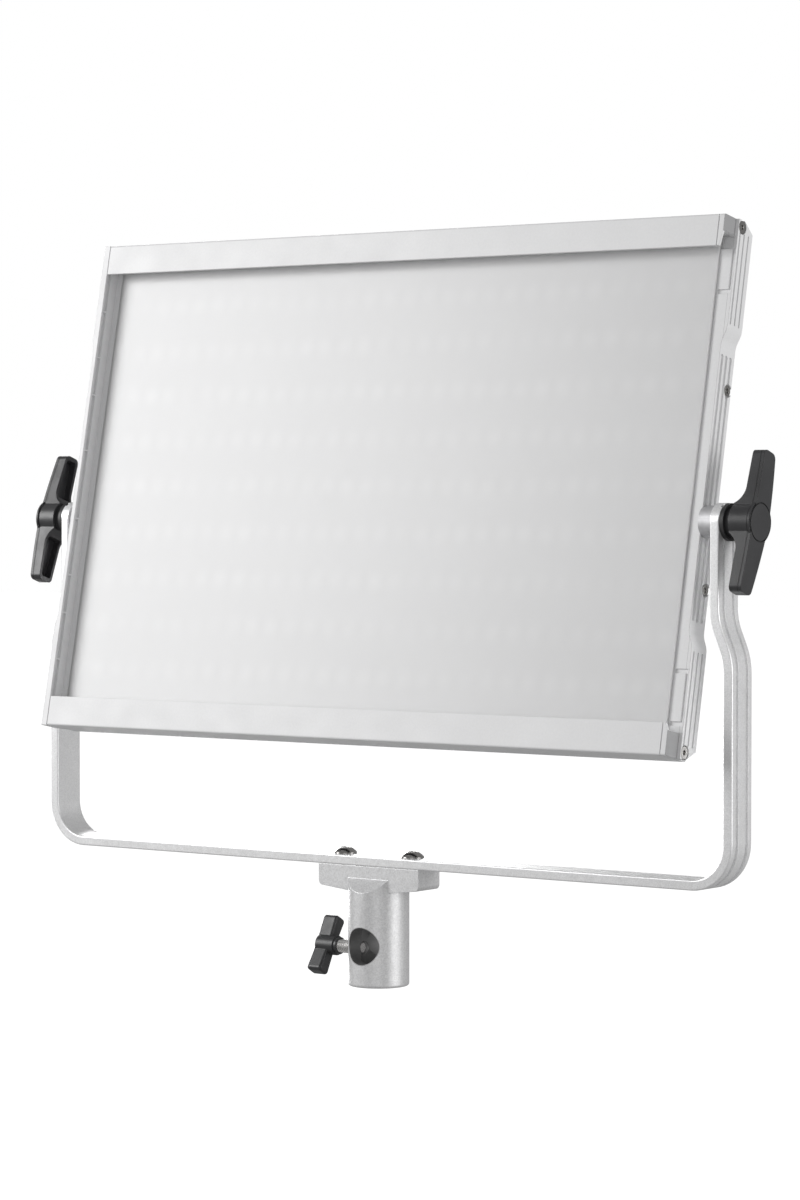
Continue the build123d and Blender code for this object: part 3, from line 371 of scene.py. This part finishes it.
def opal_sheet(name, colour):
    """Opal acrylic with painted light: rows of soft paler spots, a painted glow of the emitters behind it."""
    between_spots = 0.945       # how dark the sheet is where no emitter lies behind it
    sheet = Surface(name, colour, 0.33, 0.0, 0.5)
    sheet.shader.inputs["Subsurface Weight"].default_value = 0.75
    sheet.shader.inputs["Subsurface Radius"].default_value = (1.0, 1.0, 1.0)
    sheet.shader.inputs["Subsurface Scale"].default_value = 9 * MILLIMETRE
    x, y, z = sheet.axes()
    rise = sheet.maths("SUBTRACT", sheet.along(y, z, UP), LED_MIDDLE)
    falls = []
    for place, pitch, count in ((x, LED_COLUMN_PITCH, LED_COLUMNS), (rise, LED_ROW_PITCH, LED_ROWS)):
        shifted = sheet.maths("ADD", place, (count / 2) * pitch)
        cell = sheet.maths("FRACT", sheet.maths("DIVIDE", shifted, pitch))
        distance = sheet.maths("MULTIPLY", sheet.maths("SUBTRACT", cell, 0.5), pitch / GLOW_WIDTH)
        falls.append(sheet.maths("MULTIPLY", distance, distance))
    # painted glow: the sheet is made lighter over each emitter
    emitter_painted_glow = sheet.maths("EXPONENT", sheet.maths("MULTIPLY", sheet.maths("ADD", *falls), -1.0))
    uneven = sheet.remap(sheet.noise(38 * MILLIMETRE, 1.0), 0.3, 1.0)
    sheet.shade(sheet.remap(sheet.maths("MULTIPLY", emitter_painted_glow, uneven), between_spots, 1.0, 0.0, 1.0))
    sheet.shade(sheet.remap(sheet.noise(90 * MILLIMETRE, 1.0), 0.985, 1.0))
    sheet.relief(sheet.noise(0.5 * MILLIMETRE, 2.0), 0.006 * MILLIMETRE)
    return sheet


def silk_screen(name, colour):
    """Printed marks: thin, matt and slightly patchy ink."""
    ink = Surface(name, colour, 0.6, 0.0, 0.3)
    ink.shade(ink.remap(ink.noise(0.3 * MILLIMETRE, 2.0), 0.8, 1.0))
    return ink


SILVER_FLAKE = 0.4 * MILLIMETRE
CAST_FLAKE = 0.5 * MILLIMETRE
HOUSING_GRAIN = 0.5 * MILLIMETRE
HOUSING_DEPTH = 0.05 * MILLIMETRE
ALONG_X = (40, 1, 1)            # stretches noise into marks that run along the axis

SURFACES = (
    # head coat, with painted shade on the right cover's cap ends
    cap_ends_painted_shade(satin_paint("head_coat", (0.80, 0.80, 0.805), 0.42), (0.36, 0.36, 0.365)),
    flake_coat("silver_coat", (0.92, 0.92, 0.925), 0.38, SILVER_FLAKE, 0.09, 0.5),
    # cast silver, with painted shade inside the receiver's two bores
    bores_painted_shade(flake_coat("cast_silver", (0.80, 0.80, 0.805), 0.42, CAST_FLAKE, 0.12, 0.5),
                   (0.24, 0.24, 0.24)),
    turned_metal("screw_steel", (0.42, 0.41, 0.40), 0.16),
    turned_metal("stud_steel", (0.62, 0.61, 0.6), 0.28, ALONG_X),
    # near-black washers between the yoke arms and the lever hubs
    moulded_plastic("washer_nylon", (0.03, 0.03, 0.031), 0.45),
    lever_seam(moulded_plastic("handle_plastic", (0.034, 0.034, 0.036), 0.36)),
    turned_metal("spacer_aluminium", (0.66, 0.66, 0.67), 0.6, ALONG_X),
    turned_metal("insert_brass", (0.71, 0.53, 0.25), 0.3),
    opal_sheet("opal_sheet", (0.87, 0.87, 0.875)),
    circuit_board("white_solder_mask", (0.86, 0.86, 0.84), (0.8, 0.8, 0.78)),
    emitter("daylight_phosphor", (0.9, 0.78, 0.2)),
    emitter("tungsten_phosphor", (0.9, 0.42, 0.1)),
    turned_metal("hidden_screw_steel", (0.09, 0.09, 0.095), 0.35),
    extruded_aluminium("sink_aluminium", (0.58, 0.585, 0.59), 0.38),
    turned_metal("standoff_brass", (0.7, 0.56, 0.3), 0.3),
    circuit_board("green_board", (0.02, 0.12, 0.055), (0.05, 0.24, 0.1)),
    moulded_plastic("coil_ferrite", (0.06, 0.06, 0.065), 0.6),
    gloss_plastic("capacitor_sleeve", (0.02, 0.025, 0.09)),
    moulded_plastic("transistor_epoxy", (0.03, 0.03, 0.03), 0.55),
    moulded_plastic("housing_plastic", (0.045, 0.046, 0.049), 0.5, HOUSING_GRAIN, HOUSING_DEPTH),
    moulded_plastic("panel_plastic", (0.02, 0.02, 0.022), 0.4),
    gloss_plastic("display_pane", (0.012, 0.016, 0.02), 0.1),
    turned_metal("display_metal", (0.5, 0.5, 0.5), 0.35),
    turned_metal("encoder_metal", (0.6, 0.6, 0.58), 0.3),
    turned_metal("shaft_steel", (0.66, 0.66, 0.66), 0.25),
    moulded_plastic("knob_plastic", (0.035, 0.035, 0.037), 0.45),
    moulded_plastic("switch_plastic", (0.03, 0.03, 0.03), 0.5),
    moulded_plastic("button_plastic", (0.42, 0.43, 0.45), 0.45),
    gloss_plastic("rocker_plastic", (0.015, 0.015, 0.016)),
    moulded_plastic("inlet_shell", (0.025, 0.025, 0.026), 0.45),
    turned_metal("pin_plating", (0.83, 0.62, 0.27), 0.22),
)
SLOTS = {surface.name: surface.material for surface in SURFACES}

for part in frame["record"]["subparts"]:
    node = nodes[part["node"]]
    node.data.materials.clear()
    node.data.materials.append(SLOTS[part["material_slot"]])


# Detail pieces --------------------------------------------------------------------------------------
def piece_from(mesh, name, material, body):
    """A finished piece from a bmesh, with its material and the body that it moves with."""
    bmesh.ops.recalc_face_normals(mesh, faces=mesh.faces)
    data = bpy.data.meshes.new(name)
    mesh.to_mesh(data)
    mesh.free()
    data.materials.append(material)
    made = bpy.data.objects.new(name, data)
    bpy.context.scene.collection.objects.link(made)
    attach(made, body)
    return made


class Print:
    """Thin raised marks on one flat place, given across, up and outwards from its origin."""

    def __init__(self, origin, across, up, thickness):
        self.origin = origin
        self.across = across.normalized()
        self.up = up.normalized()
        self.out = self.across.cross(self.up)
        self.thickness = thickness
        self.mesh = bmesh.new()

    def point(self, x, y, z):
        return self.mesh.verts.new(self.origin + self.across * x + self.up * y + self.out * z)

    def loop(self, outline, height):
        return [self.point(x, y, height) for x, y in outline]

    def walls(self, first, second):
        """Faces between two loops with the same number of points."""
        for index in range(len(first)):
            following = (index + 1) % len(first)
            self.mesh.faces.new((first[index], first[following], second[following], second[index]))

    def slab(self, outline):
        """A filled outline."""
        low = self.loop(outline, 0.0)
        high = self.loop(outline, self.thickness)
        self.walls(low, high)
        self.mesh.faces.new(low)
        self.mesh.faces.new(high)

    def bar(self, start, end, width, ends=6):
        """A stroke with round ends."""
        angle = math.atan2(end[1] - start[1], end[0] - start[0])
        outline = []
        for centre, first in ((end, angle - math.pi / 2), (start, angle + math.pi / 2)):
            for step in range(ends + 1):
                turn = first + math.pi * step / ends
                outline.append((centre[0] + math.cos(turn) * width / 2,
                                centre[1] + math.sin(turn) * width / 2))
        self.slab(outline)

    def disc(self, centre, radius, sides=28):
        turns = [2 * math.pi * step / sides for step in range(sides)]
        self.slab([(centre[0] + radius * math.cos(turn), centre[1] + radius * math.sin(turn))
                   for turn in turns])

    def ring(self, centre, inner, outer, sides=32):
        loops = []
        for radius, height in ((inner, 0.0), (outer, 0.0), (outer, self.thickness),
                               (inner, self.thickness)):
            loops.append(self.loop([(centre[0] + radius * math.cos(2 * math.pi * step / sides),
                                     centre[1] + radius * math.sin(2 * math.pi * step / sides))
                                    for step in range(sides)], height))
        for first, second in zip(loops, loops[1:] + loops[:1]):
            self.walls(first, second)

    def rays(self, centre, inner, outer, width, turns):
        """Short strokes that point away from a centre, at the given turns from straight up."""
        for turn in turns:
            x, y = math.sin(math.radians(turn)), math.cos(math.radians(turn))
            self.bar((centre[0] + inner * x, centre[1] + inner * y),
                     (centre[0] + outer * x, centre[1] + outer * y), width)


def threaded_rod(name, start, tip, height, major, pitch, material, body):
    """A screw along X whose thread runs on to a chamfered tip."""
    rings_per_turn = 12
    sides = 36
    depth = 0.6 * pitch
    flank = 1.25                # above 1 leaves a flat crest between the flanks
    chamfer = 0.8 * MILLIMETRE
    count = round((tip - start) / pitch * rings_per_turn)
    mesh = bmesh.new()
    rings = []
    for number in range(count + 1):
        x = start + (tip - start) * number / count
        limit = major - max(0.0, chamfer - (tip - x))
        ring = []
        for side in range(sides):
            turn = 2 * math.pi * side / sides
            phase = ((x - start) / pitch - side / sides) % 1.0
            crest = min(1.0, flank * (1 - abs(2 * phase - 1)))
            radius = min(major - depth + depth * crest, limit)
            ring.append(mesh.verts.new((x, radius * math.cos(turn), height + radius * math.sin(turn))))
        rings.append(ring)
    for first, second in zip(rings, rings[1:]):
        for side in range(sides):
            following = (side + 1) % sides
            mesh.faces.new((first[side], first[following], second[following], second[side]))
    mesh.faces.new(rings[0])
    mesh.faces.new(rings[-1])
    return piece_from(mesh, name, material, body)


SCREW_PITCH = 1.0 * MILLIMETRE
screw_low, screw_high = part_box("clamp_screw")
threaded_clamp = threaded_rod("clamp_thread", screw_low.x, screw_high.x, middle("clamp_screw").z,
                              (screw_high.z - screw_low.z) / 2, SCREW_PITCH,
                              SLOTS["stud_steel"], "clamp_screw")
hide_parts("clamp_screw")

# Rear controls: what is printed on the panel and let into the knobs
INK = silk_screen("white_ink", (0.7, 0.7, 0.7)).material
INK_THICKNESS = 0.04 * MILLIMETRE
STROKE = 0.4 * MILLIMETRE
SCALE_RADIUS = 10.6 * MILLIMETRE
TICK_LENGTH = 1.5 * MILLIMETRE
TICK_TURNS = range(-135, 136, 27)
SYMBOL_RISE = 15.0 * MILLIMETRE
POINTER_WIDTH = 1.0 * MILLIMETRE
POINTER_INNER = 3.6 * MILLIMETRE
POINTER_OUTER = 6.9 * MILLIMETRE
POINTER_SINK = 0.5 * MILLIMETRE     # how deep the knob's groove is
POINTER_FILL = 0.8 * POINTER_SINK   # and how much of it the paint fills
panel_surface = reach("control_panel", BACKWARD)


def on_surface(point, depth):
    """The point moved along the head's depth until it lies that far back."""
    return point + BACKWARD * (depth - point.dot(BACKWARD))


for knob in ("dimmer", "colour"):
    axis_point = Vector(joints[knob + "_turn"]["pos_m"])
    scale = Print(on_surface(axis_point, panel_surface), -ACROSS, UP, INK_THICKNESS)
    scale.rays((0, 0), SCALE_RADIUS, SCALE_RADIUS + TICK_LENGTH, STROKE, TICK_TURNS)
    symbol = (0, SYMBOL_RISE)
    if knob == "dimmer":
        # a small sun for brightness
        scale.disc(symbol, 0.9 * MILLIMETRE)
        scale.rays(symbol, 1.5 * MILLIMETRE, 2.1 * MILLIMETRE, 0.7 * STROKE, range(0, 360, 45))
    else:
        # a ring with a filled middle for colour
        scale.ring(symbol, 1.5 * MILLIMETRE, 1.9 * MILLIMETRE)
        scale.disc(symbol, 0.8 * MILLIMETRE)
    piece_from(scale.mesh, knob + "_scale", INK, "head")
    knob_surface = reach(knob + "_knob", BACKWARD)
    pointer = Print(on_surface(axis_point, knob_surface - POINTER_SINK), -ACROSS, UP, POINTER_FILL)
    pointer.bar((0, POINTER_INNER), (0, POINTER_OUTER), POINTER_WIDTH)
    piece_from(pointer.mesh, knob + "_pointer", INK, knob)

# On and off marks on the rocker's two faces, each found from the CAD faces that look out of it
MARK_RISE = 5.6 * MILLIMETRE        # from the rocker's axis to the middle of a mark
AXIS_BAND = 2 * MILLIMETRE          # faces this near the axis belong to neither half
LEAST_DEPTH = 1 * MILLIMETRE        # and a pressing face lies at least this far behind it


def rocker_face(half):
    """The middle and outward normal of the rocker's upper (1) or lower (-1) pressing face."""
    axis_point = Vector(joints["power_rocker_tip"]["pos_m"])
    faces = [face for face in nodes["power_rocker"].data.polygons
             if face.normal.dot(BACKWARD) > 0.9
             and half * (Vector(face.center) - axis_point).dot(UP) > AXIS_BAND
             and (Vector(face.center) - axis_point).dot(BACKWARD) > LEAST_DEPTH]
    area = sum(face.area for face in faces)
    normal = sum((face.normal * face.area for face in faces), Vector()).normalized()
    height = sum(Vector(face.center).dot(normal) * face.area for face in faces) / area
    centre = axis_point + UP * half * MARK_RISE
    return centre + normal * (height - centre.dot(normal)), normal


for half, name in ((1, "on_mark"), (-1, "off_mark")):
    centre, normal = rocker_face(half)
    up = (UP - normal * UP.dot(normal)).normalized()
    mark = Print(centre, up.cross(normal), up, INK_THICKNESS)
    if half == 1:
        mark.bar((0, -1.6 * MILLIMETRE), (0, 1.6 * MILLIMETRE), 0.6 * MILLIMETRE)
    else:
        mark.ring((0, 0), 1.2 * MILLIMETRE, 1.8 * MILLIMETRE)
    piece_from(mark.mesh, name, INK, "power_rocker")

# Stage ----------------------------------------------------------------------------------------------
FLOOR_HEIGHT = -0.32
FLOOR_HALF_SIZE = 14.0
BACKDROP_LEVEL = 1.0        # how bright the white behind the object looks
LIGHTING_LEVEL = 0.32       # and how bright it is as a light
CAMERA_PLACE = (0.9633, -1.2847, 0.2144)
CAMERA_YAW = math.radians(36.53)
CAMERA_PITCH = math.radians(1.60)
FOCAL_LENGTH = 109.8        # in mm, on a sensor 36 mm high
SOFTBOXES = {               # place, the point it faces, side and power in watts
    "key": ((-1.0, -0.88, 0.62), (-0.05, 0, 0.2), 0.7, 13),
    "fill": ((0.9, -1.5, 0.3), (0, 0, 0.2), 1.0, 3.2),
    "rear_left": ((-1.5, 1.2, 0.3), (0, 0, 0.2), 1.2, 30),
    "right": ((1.45, 0.3, 0.3), (0, 0, 0.15), 0.9, 10),
}


def floor():
    """A plain pale floor under the light, which a stand would hold up."""
    mesh = bpy.data.meshes.new("floor")
    corners = [(x * FLOOR_HALF_SIZE, y * FLOOR_HALF_SIZE, FLOOR_HEIGHT)
               for x, y in ((-1, -1), (1, -1), (1, 1), (-1, 1))]
    mesh.from_pydata(corners, [], [(0, 1, 2, 3)])
    made = bpy.data.objects.new("floor", mesh)
    bpy.context.scene.collection.objects.link(made)
    material = bpy.data.materials.new("floor")
    material.use_nodes = True
    tree = material.node_tree
    shader = tree.nodes["Principled BSDF"]
    shader.inputs["Base Color"].default_value = (0.9, 0.9, 0.9, 1)
    shader.inputs["Roughness"].default_value = 0.9
    shader.inputs["Emission Color"].default_value = (1, 1, 1, 1)
    shader.inputs["Emission Strength"].default_value = 0.8
    made.data.materials.append(material)
    # the floor is there to be seen, and the world alone lights the object from below
    made.visible_diffuse = False
    made.visible_glossy = False


def stand_at(name, data, place, direction):
    """A light or camera in the scene, facing along a direction."""
    made = bpy.data.objects.new(name, data)
    made.location = place
    made.rotation_mode = "QUATERNION"
    made.rotation_quaternion = direction.to_track_quat("-Z", "Y")
    bpy.context.scene.collection.objects.link(made)
    return made


def softbox(name, place, target, side, power):
    """A square area light that faces a point."""
    data = bpy.data.lights.new(name, "AREA")
    data.shape = "SQUARE"
    data.size = side
    data.energy = power
    stand_at(name, data, place, Vector(target) - Vector(place))


def surroundings(seen, lighting):
    """A white backdrop to look at, and a dimmer level of the same white as light."""
    world = bpy.data.worlds.new("studio")
    bpy.context.scene.world = world
    world.use_nodes = True
    tree = world.node_tree
    background = tree.nodes["Background"]
    background.inputs["Color"].default_value = (1, 1, 1, 1)
    background.inputs["Strength"].default_value = lighting
    backdrop = tree.nodes.new("ShaderNodeBackground")
    backdrop.inputs["Color"].default_value = (1, 1, 1, 1)
    backdrop.inputs["Strength"].default_value = seen
    path = tree.nodes.new("ShaderNodeLightPath")
    mix = tree.nodes.new("ShaderNodeMixShader")
    tree.links.new(path.outputs["Is Camera Ray"], mix.inputs["Fac"])
    tree.links.new(background.outputs["Background"], mix.inputs[1])
    tree.links.new(backdrop.outputs["Background"], mix.inputs[2])
    tree.links.new(mix.outputs["Shader"], tree.nodes["World Output"].inputs["Surface"])


def camera():
    """The view: from the right of the light and about level with the middle of the head."""
    data = bpy.data.cameras.new("camera")
    data.sensor_width = 36
    data.lens = FOCAL_LENGTH
    data.clip_end = 60
    looking = Vector((-math.sin(CAMERA_YAW) * math.cos(CAMERA_PITCH),
                      math.cos(CAMERA_YAW) * math.cos(CAMERA_PITCH), -math.sin(CAMERA_PITCH)))
    bpy.context.scene.camera = stand_at("camera", data, CAMERA_PLACE, looking)


floor()
surroundings(BACKDROP_LEVEL, LIGHTING_LEVEL)
for box_name, settings in SOFTBOXES.items():
    softbox(box_name, *settings)
bpy.context.scene.view_settings.view_transform = "Standard"
camera()
